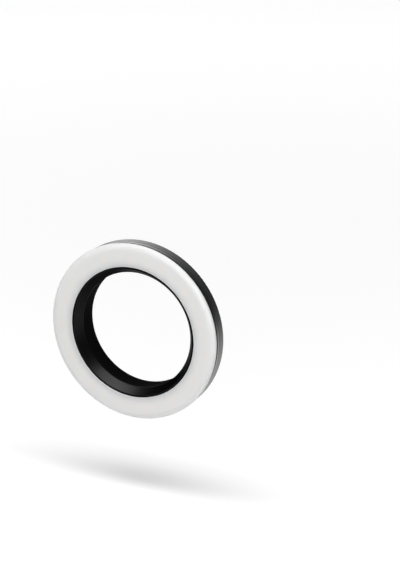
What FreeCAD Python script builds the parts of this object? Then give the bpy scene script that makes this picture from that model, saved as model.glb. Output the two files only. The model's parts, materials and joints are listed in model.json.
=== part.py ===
import FreeCAD, Part
import os
import re
import Sketcher

# Ring video light that screws into the filter thread of a lens.
# The light looks along -Y, and the lens is on the +Y side. The origin is the centre of the seat that
# meets the lens. Depths are measured back from the lit face, and clock angles run from +X to +Z.

SIZES = {
    # Lens mount
    "thread_radius": 33.5,
    "thread_length": 3.2,
    "thread_chamfer": 0.3,
    "thread_wall": 1.3,
    "hub_wall": 2.2,
    "hub_gap": 0.25,
    "flange_rise": 3.2,
    "flange_thickness": 1.7,
    "flange_chamfer": 0.3,
    "flange_gap": 0.1,
    "flute_radius": 0.9,
    "flute_depth": 0.45,
    "flute_count": 40,
    "sleeve_wall": 1.55,
    "glide_width": 2.1,
    "glide_thickness": 0.45,
    "clip_wire": 0.7,
    "clip_setback": 2.0,
    "clip_opening": 24.0,
    # Cone behind the inner edge of the face
    "cone_step": 0.6,
    "cone_flare": 3.9,
    "cone_rim_depth": 0.15,
    "cone_rim_width": 0.8,
    "cone_lip": 0.4,
    # Opal face
    "face_width": 12.4,
    "face_wall": 1.5,
    "face_skirt": 2.1,
    "face_land": 0.2,
    "face_edge_round": 0.2,
    "rib_wall": 1.1,
    "rib_reach": 1.0,
    # Housing and its back cover
    "housing_inset": 0.3,
    "housing_wall": 1.4,
    "edge_chamfer": 0.8,
    "groove_width": 1.0,
    "groove_depth": 0.9,
    "seam_step": 0.45,
    "seam_chamfer": 0.2,
    "lap_length": 1.2,
    "lap_wall": 0.75,
    "back_round": 0.6,
    "cover_floor": 1.1,
    "deck_thickness": 0.75,
    "sill_wall": 0.75,
    "ledge_thickness": 0.4,
    "ledge_step": 1.4,
    # Light engine
    "light_gap": 1.5,
    "led_height": 0.7,
    "led_length": 3.5,
    "led_width": 2.8,
    "led_inset": 0.6,
    "led_pairs": 15,
    "led_clock": 17.0,
    "tray_wall": 0.8,
    "tray_flange": 0.45,
    "board_thickness": 0.8,
    "thermal_thickness": 0.3,
    # Cover screws
    "screw_radius": 0.8,
    "screw_reach": 3.4,
    "screw_head_radius": 1.5,
    "screw_head_thickness": 0.5,
    "screw_slot_length": 1.7,
    "screw_slot_width": 0.4,
    "screw_slot_depth": 0.3,
    "boss_radius": 1.9,
    "boss_gap": 0.3,
    # Cells
    "cell_width": 6.5,
    "cell_thickness": 3.5,
    "cell_round": 0.8,
    "cell_gap": 0.5,
    "cell_pad_margin": 0.75,
    "flex_gap": 0.3,
    "flex_width": 2.6,
    "flex_thickness": 0.2,
    "flex_end_angle": 1.0,
    # Circuit boards behind the deck
    "circuit_gap": 0.6,
    "circuit_edge_gap": 0.3,
    "circuit_lift": 0.3,
    "circuit_thickness": 0.8,
    "control_end_angle": 5.0,
    "charge_half_angle": 17.0,
    "board_screw_margin": 1.8,
    "board_screw_radius": 0.65,
    "board_screw_head_radius": 1.2,
    "board_screw_head_thickness": 0.6,
    "control_screw_inset": 5.0,
    "charge_screw_angle": 12.5,
    "standoff_radius": 1.3,
    "lead_radius": 0.45,
    "lead_pitch": 2.6,
    "lead_count": 3,
    "chip_size": 3.0,
    "chip_height": 0.9,
    "chip_margin": 0.3,
    "chip_pitch": 8.5,
    "chip_count": 3,
    "coil_size": 3.8,
    "coil_height": 2.2,
    "coil_margin": 0.6,
    "coil_angle": 12.6,
    # Buttons and their switches
    "button_inset_angle": 6.0,
    "button_pitch": 8.6,
    "button_radius": 2.2,
    "button_proud": 0.6,
    "button_round": 0.25,
    "button_flange_width": 0.5,
    "button_flange_thickness": 0.6,
    "button_stem_radius": 1.2,
    "button_rest_gap": 0.03,
    "button_travel": 0.35,
    "switch_width": 3.6,
    "switch_length": 4.2,
    "switch_height": 1.6,
    "plunger_radius": 0.9,
    "plunger_rise": 0.45,
    "plunger_depth": 0.6,
    # Charge lamps
    "lamp_space_angle": 6.8,
    "lamp_pitch": 2.8,
    "lamp_count": 4,
    "lamp_radius": 0.6,
    "lamp_chip_size": 1.2,
    "lamp_chip_height": 0.6,
    "lamp_chip_gap": 0.2,
    # Charging socket
    "socket_width": 8.94,
    "socket_height": 3.16,
    "socket_length": 7.3,
    "socket_wall": 0.3,
    "socket_back_wall": 0.5,
    "socket_recess": 0.35,
    "socket_gap": 0.09,
    "tongue_width": 6.7,
    "tongue_thickness": 0.7,
    "tongue_length": 4.6,
    # Clearances
    "running_fit": 0.05,
    "slip_fit": 0.05,
    "rim_gap": 0.1,
    "hole_gap": 0.1,
}

BUTTONS = ["power_button", "brighter_button", "dimmer_button", "colour_button"]

# The cover's screws part the space behind the deck into sectors, counted round from +X.
SECTORS = 6
CONTROL_SECTOR = 0
CHARGE_SECTOR = 4
CELL_SECTORS = [1, 2, 3, 5]


def sector_clock(sector):
    """Clock angle of a sector's middle."""
    return f"{(2 * sector + 1) * 180 / SECTORS}"


# Places worked out from the sizes
PLACES = {
    # Radii, from the bore out to the rim
    "mount_bore": "thread_radius - thread_wall",
    "hub_radius": "mount_bore + hub_wall",
    "flange_radius": "hub_radius + flange_rise",
    "sleeve_bore": "hub_radius + running_fit",
    "sleeve_radius": "sleeve_bore + sleeve_wall",
    "recess_radius": "sleeve_bore + glide_width + 2 * rim_gap",
    "clip_ring": "hub_radius + running_fit",
    "clip_bed": "clip_ring - clip_wire / 2 - rim_gap",
    "clip_socket": "clip_ring + clip_wire / 2 + rim_gap",
    "cone_bore": "mount_bore - cone_step",
    "ledge_bore": "mount_bore + ledge_step",
    "cone_radius": "cone_bore + cone_flare",
    "face_bore": "cone_radius + rim_gap",
    "face_radius": "face_bore + face_width",
    "sill_bore": "cone_radius + slip_fit",
    "sill_radius": "sill_bore + sill_wall",
    "housing_radius": "face_radius - housing_inset",
    "wall_bore": "housing_radius - housing_wall",
    "groove_radius": "housing_radius - groove_depth",
    "lap_radius": "housing_radius - lap_wall",
    "lap_bore": "wall_bore - rim_gap",
    "lap_socket": "lap_radius + slip_fit",
    "rib_radius": "wall_bore - slip_fit",
    "rib_bore": "rib_radius - rib_wall",
    "tray_bore": "sill_radius + rim_gap",
    "tray_radius": "wall_bore - rim_gap",
    "tray_wall_radius": "rib_bore - rim_gap",
    "led_ring": "(face_bore + face_radius) / 2 - led_inset",
    "screw_ring": "lap_bore - boss_gap - boss_radius",
    "circuit_bore": "sleeve_radius + circuit_gap",
    "circuit_radius": "lap_bore - circuit_edge_gap",
    "board_screw_ring": "circuit_bore + board_screw_margin",
    "chip_ring": "circuit_bore + chip_margin + chip_size / 2",
    "coil_ring": "circuit_radius - coil_margin - coil_size / 2",
    "button_flange_radius": "button_radius + button_flange_width",
    "button_ring": "circuit_radius - button_flange_radius",
    "cell_low": "sleeve_radius + cell_gap",
    "cell_high": "cell_low + cell_width",
    "cell_half": "sqrt((lap_bore - cell_gap) ^ 2 - (cell_high) ^ 2)",
    "flex_radius": "screw_ring - boss_radius - flex_gap",
    "flex_bore": "flex_radius - flex_width",
    "socket_front": "housing_radius - socket_recess",
    # Depths, from the lit face to the end of the thread
    "face_round": "face_skirt - face_land",
    "housing_front": "face_skirt + groove_width",
    "tray_face": "face_wall + light_gap",
    "board_face": "tray_face + led_height",
    "board_back": "board_face + board_thickness",
    "deck_face": "board_back + thermal_thickness",
    "deck_back": "deck_face + deck_thickness",
    "ledge_face": "deck_back - ledge_thickness",
    "cone_end": "ledge_face - cone_lip",
    "seam_depth": "deck_back + seam_step",
    "lap_end": "seam_depth + lap_length",
    "circuit_face": "deck_back + circuit_lift",
    "circuit_back": "circuit_face + circuit_thickness",
    "socket_middle": "circuit_back + socket_height / 2",
    "floor_face": "circuit_back + socket_height + socket_gap",
    "back_depth": "floor_face + cover_floor",
    "hub_face": "deck_back + hub_gap",
    "clip_depth": "hub_face + clip_setback",
    "clip_front": "clip_depth - clip_wire / 2 - running_fit",
    "clip_back": "clip_depth + clip_wire / 2 + running_fit",
    "flange_face": "back_depth + flange_gap",
    "glide_face": "flange_face - running_fit - glide_thickness",
    "seat": "flange_face + flange_thickness",
    "thread_end": "seat + thread_length",
    "cell_face": "deck_back + flex_thickness",
    "cell_back": "cell_face + cell_thickness",
    "screw_head_face": "back_depth - screw_head_thickness",
    "switch_back": "circuit_back + switch_height",
    "plunger_back": "switch_back + plunger_rise",
    "button_flange_back": "floor_face - button_rest_gap",
    "button_flange_face": "button_flange_back - button_flange_thickness",
    "button_back": "back_depth + button_proud",
    "lamp_face": "circuit_back + lamp_chip_height + lamp_chip_gap",
    # Clock angles
    "control_clock": sector_clock(CONTROL_SECTOR),
    "charge_clock": sector_clock(CHARGE_SECTOR),
    "control_half_angle": f"180 / {SECTORS} - control_end_angle",
    "control_screw_angle": "control_half_angle - control_screw_inset",
    "flex_half_angle": "180 - control_screw_angle - flex_end_angle",
    "button_clock": "control_clock + control_half_angle - button_inset_angle",
    "lamp_clock": f"button_clock - {len(BUTTONS) - 1} * button_pitch - lamp_space_angle",
}

doc = FreeCAD.newDocument("ring_video_light")
sheet = doc.addObject("Spreadsheet::Sheet", "sizes")
for row, (alias, number) in enumerate(SIZES.items(), start=1):
    sheet.set(f"A{row}", alias)
    sheet.set(f"B{row}", str(number))
    sheet.setAlias(f"B{row}", alias)
doc.recompute()

parts = []


# Expressions


def spell(text):
    """The text as an expression: places written out, and each size named in its sheet."""

    def one(match):
        word = match.group(0)
        if word in PLACES:
            return f"({spell(PLACES[word])})"
        return f"sizes.{word}" if word in SIZES else word

    return re.sub(r"[a-z][a-z_]*", one, text)


def value(text):
    """The number that a text of sizes and places comes to."""
    return float(sheet.evalExpression(spell(text)))


def spot(radius, clock):
    """Sketch coordinates of a place at this radius and clock angle."""
    return f"({radius}) * cos(({clock}) * 1 deg)", f"({radius}) * sin(({clock}) * 1 deg)"


# Sketches


def new_body(label, clock=None):
    """A body whose lit face is at its own zero depth, turned to a clock angle."""
    body = doc.addObject("PartDesign::Body", label)
    body.Label = label
    body.Placement = FreeCAD.Placement(
        FreeCAD.Vector(0, 0, 0), FreeCAD.Rotation(FreeCAD.Vector(0, -1, 0), 1)
    )
    body.setExpression("Placement.Base.y", spell("-1 * seat"))
    turn = spell(f"({clock or 0}) * 1 deg")
    body.setExpression("Placement.Rotation.Angle", turn)
    parts.append(body)
    return body


def plane(body, role):
    return next(item for item in body.Origin.OriginFeatures if item.Role == role)


def new_sketch(body, role, offset=None):
    """A sketch on one of the body's planes, moved along the plane's normal by the offset."""
    sketch = body.newObject("Sketcher::SketchObject", body.Label + "_sketch")
    sketch.AttachmentSupport = [(plane(body, role), "")]
    sketch.MapMode = "FlatFace"
    if offset:
        sketch.setExpression("AttachmentOffset.Base.z", spell(offset))
    return sketch


def face_sketch(body, depth):
    """A sketch across the axis at this depth, its X along +X and its Y along +Z."""
    return new_sketch(body, "XZ_Plane", f"-1 * ({depth})")


def dimension(sketch, kind, *items, size):
    """A constraint whose value is bound to the sheet."""
    number = sketch.addConstraint(Sketcher.Constraint(kind, *items, value(size)))
    sketch.setExpression(f"Constraints[{number}]", spell(size))


def corner(sketch, edge, x, y):
    """Ties the start of an edge to a place in the sketch."""
    dimension(sketch, "DistanceX", -1, 1, edge, 1, size=x)
    dimension(sketch, "DistanceY", -1, 1, edge, 1, size=y)


def outline(sketch, corners):
    """A closed outline of straight edges through these corners."""
    points = [FreeCAD.Vector(value(x), value(y), 0) for x, y in corners]
    first = sketch.GeometryCount
    count = len(points)
    for index, point in enumerate(points):
        sketch.addGeometry(Part.LineSegment(point, points[(index + 1) % count]), False)
    for index in range(count):
        after = first + (index + 1) % count
        sketch.addConstraint(Sketcher.Constraint("Coincident", first + index, 2, after, 1))
    for index, (x, y) in enumerate(corners):
        corner(sketch, first + index, x, y)


def rectangle(sketch, low, high):
    outline(sketch, [low, (high[0], low[1]), high, (low[0], high[1])])


def disc(sketch, x, y, radius):
    centre = FreeCAD.Vector(value(x), value(y), 0)
    edge = sketch.addGeometry(Part.Circle(centre, FreeCAD.Vector(0, 0, 1), value(radius)), False)
    dimension(sketch, "Radius", edge, size=radius)
    dimension(sketch, "DistanceX", -1, 1, edge, 3, size=x)
    dimension(sketch, "DistanceY", -1, 1, edge, 3, size=y)


def sector(sketch, bore, radius, half_angle):
    """Part of a ring, as wide on each side of the sketch's X as the half angle."""
    turn = FreeCAD.Units.Quantity(f"{value(half_angle)} deg").getValueAs("rad").Value
    axis = FreeCAD.Vector(0, 0, 1)
    centre = FreeCAD.Vector(0, 0, 0)
    arcs = []
    for size in (bore, radius):
        circle = Part.Circle(centre, axis, value(size))
        arcs.append(sketch.addGeometry(Part.ArcOfCircle(circle, -turn, turn), False))
        sketch.addConstraint(Sketcher.Constraint("Coincident", arcs[-1], 3, -1, 1))
        dimension(sketch, "Radius", arcs[-1], size=size)
        for end, sign in ((1, "-1"), (2, "1")):
            height = f"{sign} * ({size}) * sin(({half_angle}) * 1 deg)"
            dimension(sketch, "DistanceY", -1, 1, arcs[-1], end, size=height)
    for end in (1, 2):
        ends = [
            FreeCAD.Vector(sketch.getPoint(arc, end).x, sketch.getPoint(arc, end).y, 0) for arc in arcs
        ]
        line = sketch.addGeometry(Part.LineSegment(*ends), False)
        sketch.addConstraint(Sketcher.Constraint("Coincident", line, 1, arcs[0], end))
        sketch.addConstraint(Sketcher.Constraint("Coincident", line, 2, arcs[1], end))


def obround(sketch, x, y, length, height, upright=False):
    """A slot with round ends about a centre, along the sketch's X or, when upright, its Y."""
    radius = f"({height}) / 2"
    reach = f"(({length}) - ({height})) / 2"
    along = (lambda a, b: (b, a)) if upright else (lambda a, b: (a, b))
    middle = FreeCAD.Vector(value(x), value(y), 0)
    start = 90 if upright else 0
    arcs = []
    for sign, turn in ((1, start - 90), (-1, start + 90)):
        dx, dy = along(sign * value(reach), 0)
        circle = Part.Circle(middle + FreeCAD.Vector(dx, dy, 0), FreeCAD.Vector(0, 0, 1), value(radius))
        low = FreeCAD.Units.Quantity(f"{turn} deg").getValueAs("rad").Value
        half_turn = FreeCAD.Units.Quantity("180 deg").getValueAs("rad").Value
        arcs.append(sketch.addGeometry(Part.ArcOfCircle(circle, low, low + half_turn), False))
        shift_x, shift_y = along(f"{sign} * {reach}", "0")
        dimension(sketch, "DistanceX", -1, 1, arcs[-1], 3, size=f"{x} + {shift_x}")
        dimension(sketch, "DistanceY", -1, 1, arcs[-1], 3, size=f"{y} + {shift_y}")
    dimension(sketch, "Radius", arcs[0], size=radius)
    for one, other in (arcs, arcs[::-1]):
        ends = [sketch.getPoint(one, 2), sketch.getPoint(other, 1)]
        line = sketch.addGeometry(Part.LineSegment(*[FreeCAD.Vector(p.x, p.y, 0) for p in ends]), False)
        sketch.addConstraint(Sketcher.Constraint("Tangent", one, 2, line, 1))
        sketch.addConstraint(Sketcher.Constraint("Tangent", line, 2, other, 1))


# Features


def revolve(body, corners):
    """A ring whose section has these corners, each a radius and a depth."""
    sketch = new_sketch(body, "XY_Plane")
    outline(sketch, corners)
    ring = body.newObject("PartDesign::Revolution", body.Label + "_ring")
    ring.Profile = (sketch, [""])
    ring.ReferenceAxis = (sketch, ["V_Axis"])
    ring.Angle = 360
    doc.recompute()
    return ring


def pad(body, sketch, length, forward=False):
    """Grows the sketch towards the back, or along its normal when forward."""
    feature = body.newObject("PartDesign::Pad", body.Label + "_pad")
    feature.Profile = (sketch, [""])
    feature.setExpression("Length", spell(length))
    feature.Reversed = not forward
    doc.recompute()
    return feature


def pocket(body, sketch, length, forward=False):
    """Cuts the sketch out towards the back, or along its normal when forward."""
    feature = body.newObject("PartDesign::Pocket", body.Label + "_pocket")
    feature.Profile = (sketch, [""])
    feature.setExpression("Length", spell(length))
    feature.Reversed = forward
    doc.recompute()
    return feature


def spread(body, features, count, pitch=None):
    """Repeats the features about the axis: all round, or on from the first by the pitch."""
    pattern = body.newObject("PartDesign::PolarPattern", body.Label + "_pattern")
    pattern.Originals = features
    pattern.Axis = (plane(body, "Y_Axis"), [""])
    pattern.setExpression("Occurrences", spell(count))
    pattern.Angle = 360
    if pitch:
        pattern.setExpression("Angle", spell(f"({pitch}) * (({count}) - 1)"))
    body.Tip = pattern
    doc.recompute()
    return pattern


def fillet(body, feature, radius, wanted):
    """Rounds the edges of a feature that the test picks."""
    names = [
        f"Edge{number}" for number, edge in enumerate(feature.Shape.Edges, start=1) if wanted(edge)
    ]
    rounding = body.newObject("PartDesign::Fillet", body.Label + "_fillet")
    rounding.Base = (feature, names)
    rounding.setExpression("Radius", spell(radius))
    doc.recompute()
    return rounding


def circle_at(radius, depth):
    """A test for a round edge of this radius at this depth."""

    def wanted(edge):
        curve = edge.Curve
        if not isinstance(curve, Part.Circle):
            return False
        return abs(curve.Radius - value(radius)) < 1e-4 and abs(curve.Center.y - value(depth)) < 1e-4

    return wanted


def along_axis(edge):
    """A test for a straight edge that runs from front to back."""
    return isinstance(edge.Curve, Part.Line) and abs(edge.tangentAt(edge.FirstParameter).y) > 0.999


def ring_part(label, corners):
    body = new_body(label)
    revolve(body, corners)
    return body


# Face and cone


def make_diffuser():
    """Opal face: a shallow cap with a rib that slips inside the housing's wall."""
    body = new_body("diffuser")
    cap = revolve(
        body,
        [
            ("face_bore", "0"),
            ("face_radius", "0"),
            ("face_radius", "face_skirt"),
            ("rib_radius", "face_skirt"),
            ("rib_radius", "face_skirt + rib_reach"),
            ("rib_bore", "face_skirt + rib_reach"),
            ("rib_bore", "face_wall"),
            ("face_bore", "face_wall"),
        ],
    )
    rounded = fillet(body, cap, "face_round", circle_at("face_radius", "0"))
    fillet(body, rounded, "face_edge_round", circle_at("face_bore", "0"))


def make_inner_cone():
    """Black cone that leads in from the face to the lens."""
    ring_part(
        "inner_cone",
        [
            ("cone_radius - cone_rim_width", "cone_rim_depth"),
            ("cone_radius", "cone_rim_depth"),
            ("cone_radius", "ledge_face"),
            ("cone_bore", "ledge_face"),
            ("cone_bore", "cone_end"),
        ],
    )


# Light engine


def make_reflector_tray():
    """White tray that rings the emitters and holds their board down."""
    body = ring_part(
        "reflector_tray",
        [
            ("tray_bore", "face_wall"),
            ("tray_bore + tray_wall", "face_wall"),
            ("tray_bore + tray_wall", "tray_face"),
            ("tray_wall_radius - tray_wall", "tray_face"),
            ("tray_wall_radius - tray_wall", "face_wall"),
            ("tray_wall_radius", "face_wall"),
            ("tray_wall_radius", "board_face - tray_flange"),
            ("tray_radius", "board_face - tray_flange"),
            ("tray_radius", "board_face"),
            ("tray_bore", "board_face"),
        ],
    )
    cuts = []
    for clock in ("led_clock", "led_clock + 180 / led_pairs"):
        sketch = face_sketch(body, "face_wall")
        led_outline(sketch, clock, "hole_gap")
        cuts.append(pocket(body, sketch, "board_face"))
    spread(body, cuts, "led_pairs")


def led_outline(sketch, clock, gap):
    """One emitter's outline at a clock angle, wider by the gap on each side."""
    deep = f"led_width / 2 + {gap}"
    wide = f"led_length / 2 + {gap}"
    cosine = f"cos(({clock}) * 1 deg)"
    sine = f"sin(({clock}) * 1 deg)"
    corners = []
    for out, side in (("-1", "-1"), ("1", "-1"), ("1", "1"), ("-1", "1")):
        radial = f"(led_ring + {out} * ({deep}))"
        across = f"({side} * ({wide}))"
        corners.append((f"{radial} * {cosine} - {across} * {sine}", f"{radial} * {sine} + {across} * {cosine}"))
    outline(sketch, corners)


def make_leds(label, clock):
    """One colour of emitter: separate chips all round the board."""
    body = new_body(label)
    sketch = face_sketch(body, "tray_face")
    led_outline(sketch, clock, "0")
    chip = pad(body, sketch, "led_height")
    spread(body, [chip], "led_pairs")


def make_led_board():
    ring_part(
        "led_board",
        [
            ("tray_bore", "board_face"),
            ("tray_radius", "board_face"),
            ("tray_radius", "board_back"),
            ("tray_bore", "board_back"),
        ],
    )


def make_thermal_pad():
    body = ring_part(
        "thermal_pad",
        [
            ("tray_bore", "board_back"),
            ("tray_radius", "board_back"),
            ("tray_radius", "deck_face"),
            ("tray_bore", "deck_face"),
        ],
    )
    cut_lead_holes(body, "board_back", "thermal_thickness")


def cut_lead_holes(body, depth, length):
    """Holes for the leads that join the two boards."""
    sketch = face_sketch(body, depth)
    disc(sketch, *spot("board_screw_ring", "control_clock + lead_pitch"), "lead_radius + hole_gap")
    hole = pocket(body, sketch, length)
    spread(body, [hole], "lead_count", "lead_pitch")


def make_led_leads():
    """Leads from the emitters' board through the deck to the control board."""
    body = new_body("led_leads", "control_clock + lead_pitch")
    sketch = face_sketch(body, "board_back")
    disc(sketch, "board_screw_ring", "0", "lead_radius")
    lead = pad(body, sketch, "circuit_face - board_back")
    spread(body, [lead], "lead_count", "lead_pitch")


# Housing


def make_front_housing():
    """Metal housing: outer wall, inner sill, and the deck that carries everything."""
    body = ring_part(
        "front_housing",
        [
            ("ledge_bore", "ledge_face"),
            ("sill_bore", "ledge_face"),
            ("sill_bore", "face_wall"),
            ("sill_radius", "face_wall"),
            ("sill_radius", "deck_face"),
            ("wall_bore", "deck_face"),
            ("wall_bore", "face_skirt"),
            ("groove_radius", "face_skirt"),
            ("groove_radius", "housing_front"),
            ("housing_radius - edge_chamfer", "housing_front"),
            ("housing_radius", "housing_front + edge_chamfer"),
            ("housing_radius", "seam_depth - seam_chamfer"),
            ("housing_radius - seam_chamfer", "seam_depth"),
            ("lap_radius", "seam_depth"),
            ("lap_radius", "lap_end"),
            ("lap_bore", "lap_end"),
            ("lap_bore", "deck_back"),
            ("ledge_bore", "deck_back"),
        ],
    )
    boss_sketch = face_sketch(body, "deck_face")
    disc(boss_sketch, "screw_ring", "0", "boss_radius")
    boss = pad(body, boss_sketch, "floor_face - deck_face")
    pilot_sketch = face_sketch(body, "floor_face - screw_reach")
    disc(pilot_sketch, "screw_ring", "0", "screw_radius + slip_fit")
    pilot = pocket(body, pilot_sketch, "screw_reach")
    spread(body, [boss, pilot], str(SECTORS))
    for clock, angle in BOARD_SCREWS:
        stud_sketch = face_sketch(body, "deck_face")
        disc(stud_sketch, *spot("board_screw_ring", f"{clock} + {angle}"), "standoff_radius")
        pad(body, stud_sketch, "circuit_face - deck_face")
        hole_sketch = face_sketch(body, "deck_face")
        disc(hole_sketch, *spot("board_screw_ring", f"{clock} + {angle}"), "board_screw_radius + slip_fit")
        pocket(body, hole_sketch, "circuit_face - deck_face")
    cut_lead_holes(body, "deck_face", "deck_thickness")
    cut_socket_opening(body)


BOARD_SCREWS = [
    ("control_clock", "control_screw_angle"),
    ("control_clock", "-1 * control_screw_angle"),
    ("charge_clock", "charge_screw_angle"),
    ("charge_clock", "-1 * charge_screw_angle"),
]


def cut_socket_opening(body):
    """Opening through the outer wall for the charging socket, at the bottom."""
    sketch = new_sketch(body, "XY_Plane", "-1 * (circuit_radius - hole_gap)")
    obround(
        sketch,
        "0",
        "socket_middle",
        "socket_width + 2 * hole_gap",
        "socket_height + 2 * hole_gap",
    )
    pocket(body, sketch, "face_radius - circuit_radius")


def make_back_cover():
    """Plastic cover with the sleeve that the lens mount turns in."""
    body = new_body("back_cover")
    shell = revolve(
        body,
        [
            ("sleeve_bore", "deck_back"),
            ("sleeve_radius", "deck_back"),
            ("sleeve_radius", "floor_face"),
            ("wall_bore", "floor_face"),
            ("wall_bore", "lap_end + slip_fit"),
            ("lap_socket", "lap_end + slip_fit"),
            ("lap_socket", "seam_depth"),
            ("housing_radius - seam_chamfer", "seam_depth"),
            ("housing_radius", "seam_depth + seam_chamfer"),
            ("housing_radius", "back_depth"),
            ("recess_radius", "back_depth"),
            ("recess_radius", "glide_face"),
            ("sleeve_bore", "glide_face"),
            ("sleeve_bore", "clip_back"),
            ("clip_socket", "clip_back"),
            ("clip_socket", "clip_front"),
            ("sleeve_bore", "clip_front"),
        ],
    )
    fillet(body, shell, "back_round", circle_at("housing_radius", "back_depth"))
    seat_sketch = face_sketch(body, "screw_head_face")
    disc(seat_sketch, "screw_ring", "0", "screw_head_radius + slip_fit")
    seat = pocket(body, seat_sketch, "screw_head_thickness")
    hole_sketch = face_sketch(body, "floor_face")
    disc(hole_sketch, "screw_ring", "0", "screw_radius + hole_gap")
    hole = pocket(body, hole_sketch, "cover_floor")
    spread(body, [seat, hole], str(SECTORS))
    button_sketch = face_sketch(body, "floor_face")
    disc(button_sketch, *spot("button_ring", "button_clock"), "button_radius + running_fit")
    button_hole = pocket(body, button_sketch, "cover_floor")
    spread(body, [button_hole], str(len(BUTTONS)), "button_pitch")
    lamp_sketch = face_sketch(body, "floor_face")
    disc(lamp_sketch, *spot("button_ring", "lamp_clock"), "lamp_radius + slip_fit")
    lamp_hole = pocket(body, lamp_sketch, "cover_floor")
    spread(body, [lamp_hole], "lamp_count", "lamp_pitch")
    cut_socket_opening(body)


def make_cover_screws():
    """Flat-headed screws with a cross slot, sunk flush in the cover."""
    body = new_body("cover_screws")
    head_sketch = face_sketch(body, "screw_head_face")
    disc(head_sketch, "screw_ring", "0", "screw_head_radius")
    head = pad(body, head_sketch, "screw_head_thickness")
    shank_sketch = face_sketch(body, "floor_face - screw_reach + hole_gap")
    disc(shank_sketch, "screw_ring", "0", "screw_radius")
    shank = pad(body, shank_sketch, "screw_reach - hole_gap + cover_floor - screw_head_thickness")
    slot_sketch = face_sketch(body, "back_depth - screw_slot_depth")
    cross(slot_sketch, "screw_ring", "screw_slot_length / 2", "screw_slot_width / 2")
    slot = pocket(body, slot_sketch, "screw_slot_depth")
    spread(body, [head, shank, slot], str(SECTORS))


def cross(sketch, radius, reach, half_width):
    """A cross about a centre on the sketch's X."""
    long_side = f"({reach})"
    short_side = f"({half_width})"
    quarter = [(long_side, f"-1 * {short_side}"), (long_side, short_side), (short_side, short_side)]
    corners = []
    for turn in range(4):
        for x, y in quarter:
            for _ in range(turn):
                x, y = f"-1 * ({y})", x
            corners.append((f"{radius} + {x}", y))
    outline(sketch, corners)


# Lens mount


def make_mount_ring():
    """Threaded ring that screws into the lens and turns in the cover's sleeve."""
    body = ring_part(
        "mount_ring",
        [
            ("mount_bore", "hub_face"),
            ("hub_radius", "hub_face"),
            ("hub_radius", "clip_front"),
            ("clip_bed", "clip_front"),
            ("clip_bed", "clip_back"),
            ("hub_radius", "clip_back"),
            ("hub_radius", "flange_face"),
            ("flange_radius - flange_chamfer", "flange_face"),
            ("flange_radius", "flange_face + flange_chamfer"),
            ("flange_radius", "seat - flange_chamfer"),
            ("flange_radius - flange_chamfer", "seat"),
            ("thread_radius", "seat"),
            ("thread_radius", "thread_end - thread_chamfer"),
            ("thread_radius - thread_chamfer", "thread_end"),
            ("mount_bore", "thread_end"),
        ],
    )
    sketch = face_sketch(body, "flange_face")
    disc(sketch, "flange_radius + flute_radius - flute_depth", "0", "flute_radius")
    flute = pocket(body, sketch, "flange_thickness")
    spread(body, [flute], "flute_count")


def make_snap_ring():
    """Open wire ring that keeps the mount in the sleeve."""
    ring = doc.addObject("Part::Torus", "snap_ring")
    ring.Label = "snap_ring"
    ring.setExpression("Radius1", spell("clip_ring"))
    ring.setExpression("Radius2", spell("clip_wire / 2"))
    ring.setExpression("Angle3", spell("360 - clip_opening"))
    ring.Placement = FreeCAD.Placement(
        FreeCAD.Vector(0, 0, 0), FreeCAD.Rotation(FreeCAD.Vector(1, 0, 0), 90)
    )
    ring.setExpression("Placement.Base.y", spell("clip_depth - seat"))
    doc.recompute()
    parts.append(ring)


def make_glide_washer():
    ring_part(
        "glide_washer",
        [
            ("sleeve_bore + rim_gap", "glide_face"),
            ("sleeve_bore + rim_gap + glide_width", "glide_face"),
            ("sleeve_bore + rim_gap + glide_width", "flange_face - running_fit"),
            ("sleeve_bore + rim_gap", "flange_face - running_fit"),
        ],
    )


# Cells


def make_cells():
    """Flat cells, one in each sector that holds no board, with a foam pad behind each."""
    for number, sector in enumerate(CELL_SECTORS, start=1):
        clock = sector_clock(sector)
        body = new_body(f"battery_cell_{number}", clock)
        sketch = face_sketch(body, "cell_face")
        rectangle(sketch, ("cell_low", "-1 * cell_half"), ("cell_high", "cell_half"))
        block = pad(body, sketch, "cell_thickness")
        fillet(body, block, "cell_round", along_axis)
        cushion = new_body(f"cell_pad_{number}", clock)
        pad_sketch = face_sketch(cushion, "cell_back")
        rectangle(
            pad_sketch,
            ("cell_low + cell_pad_margin", "cell_pad_margin - cell_half"),
            ("cell_high - cell_pad_margin", "cell_half - cell_pad_margin"),
        )
        pad(cushion, pad_sketch, "floor_face - cell_back")


def make_cell_flex():
    """Flat flexible strip that joins the cells to both boards, notched round their standoffs."""
    body = new_body("cell_flex", "control_clock + 180")
    sketch = face_sketch(body, "deck_back")
    sector(sketch, "flex_bore", "flex_radius", "flex_half_angle")
    pad(body, sketch, "flex_thickness")
    for clock, angle in BOARD_SCREWS:
        notch_clock = f"{clock} + {angle} - control_clock - 180"
        notch_sketch = face_sketch(body, "deck_back")
        disc(notch_sketch, *spot("board_screw_ring", notch_clock), "standoff_radius + flex_gap")
        pocket(body, notch_sketch, "flex_thickness")


# Circuit boards


def make_board(label, clock, half_angle, screw_angle):
    body = new_body(label, clock)
    sketch = face_sketch(body, "circuit_face")
    sector(sketch, "circuit_bore", "circuit_radius", half_angle)
    for side in ("1", "-1"):
        disc(sketch, *spot("board_screw_ring", f"{side} * {screw_angle}"), "board_screw_radius + hole_gap")
    pad(body, sketch, "circuit_thickness")


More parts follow.
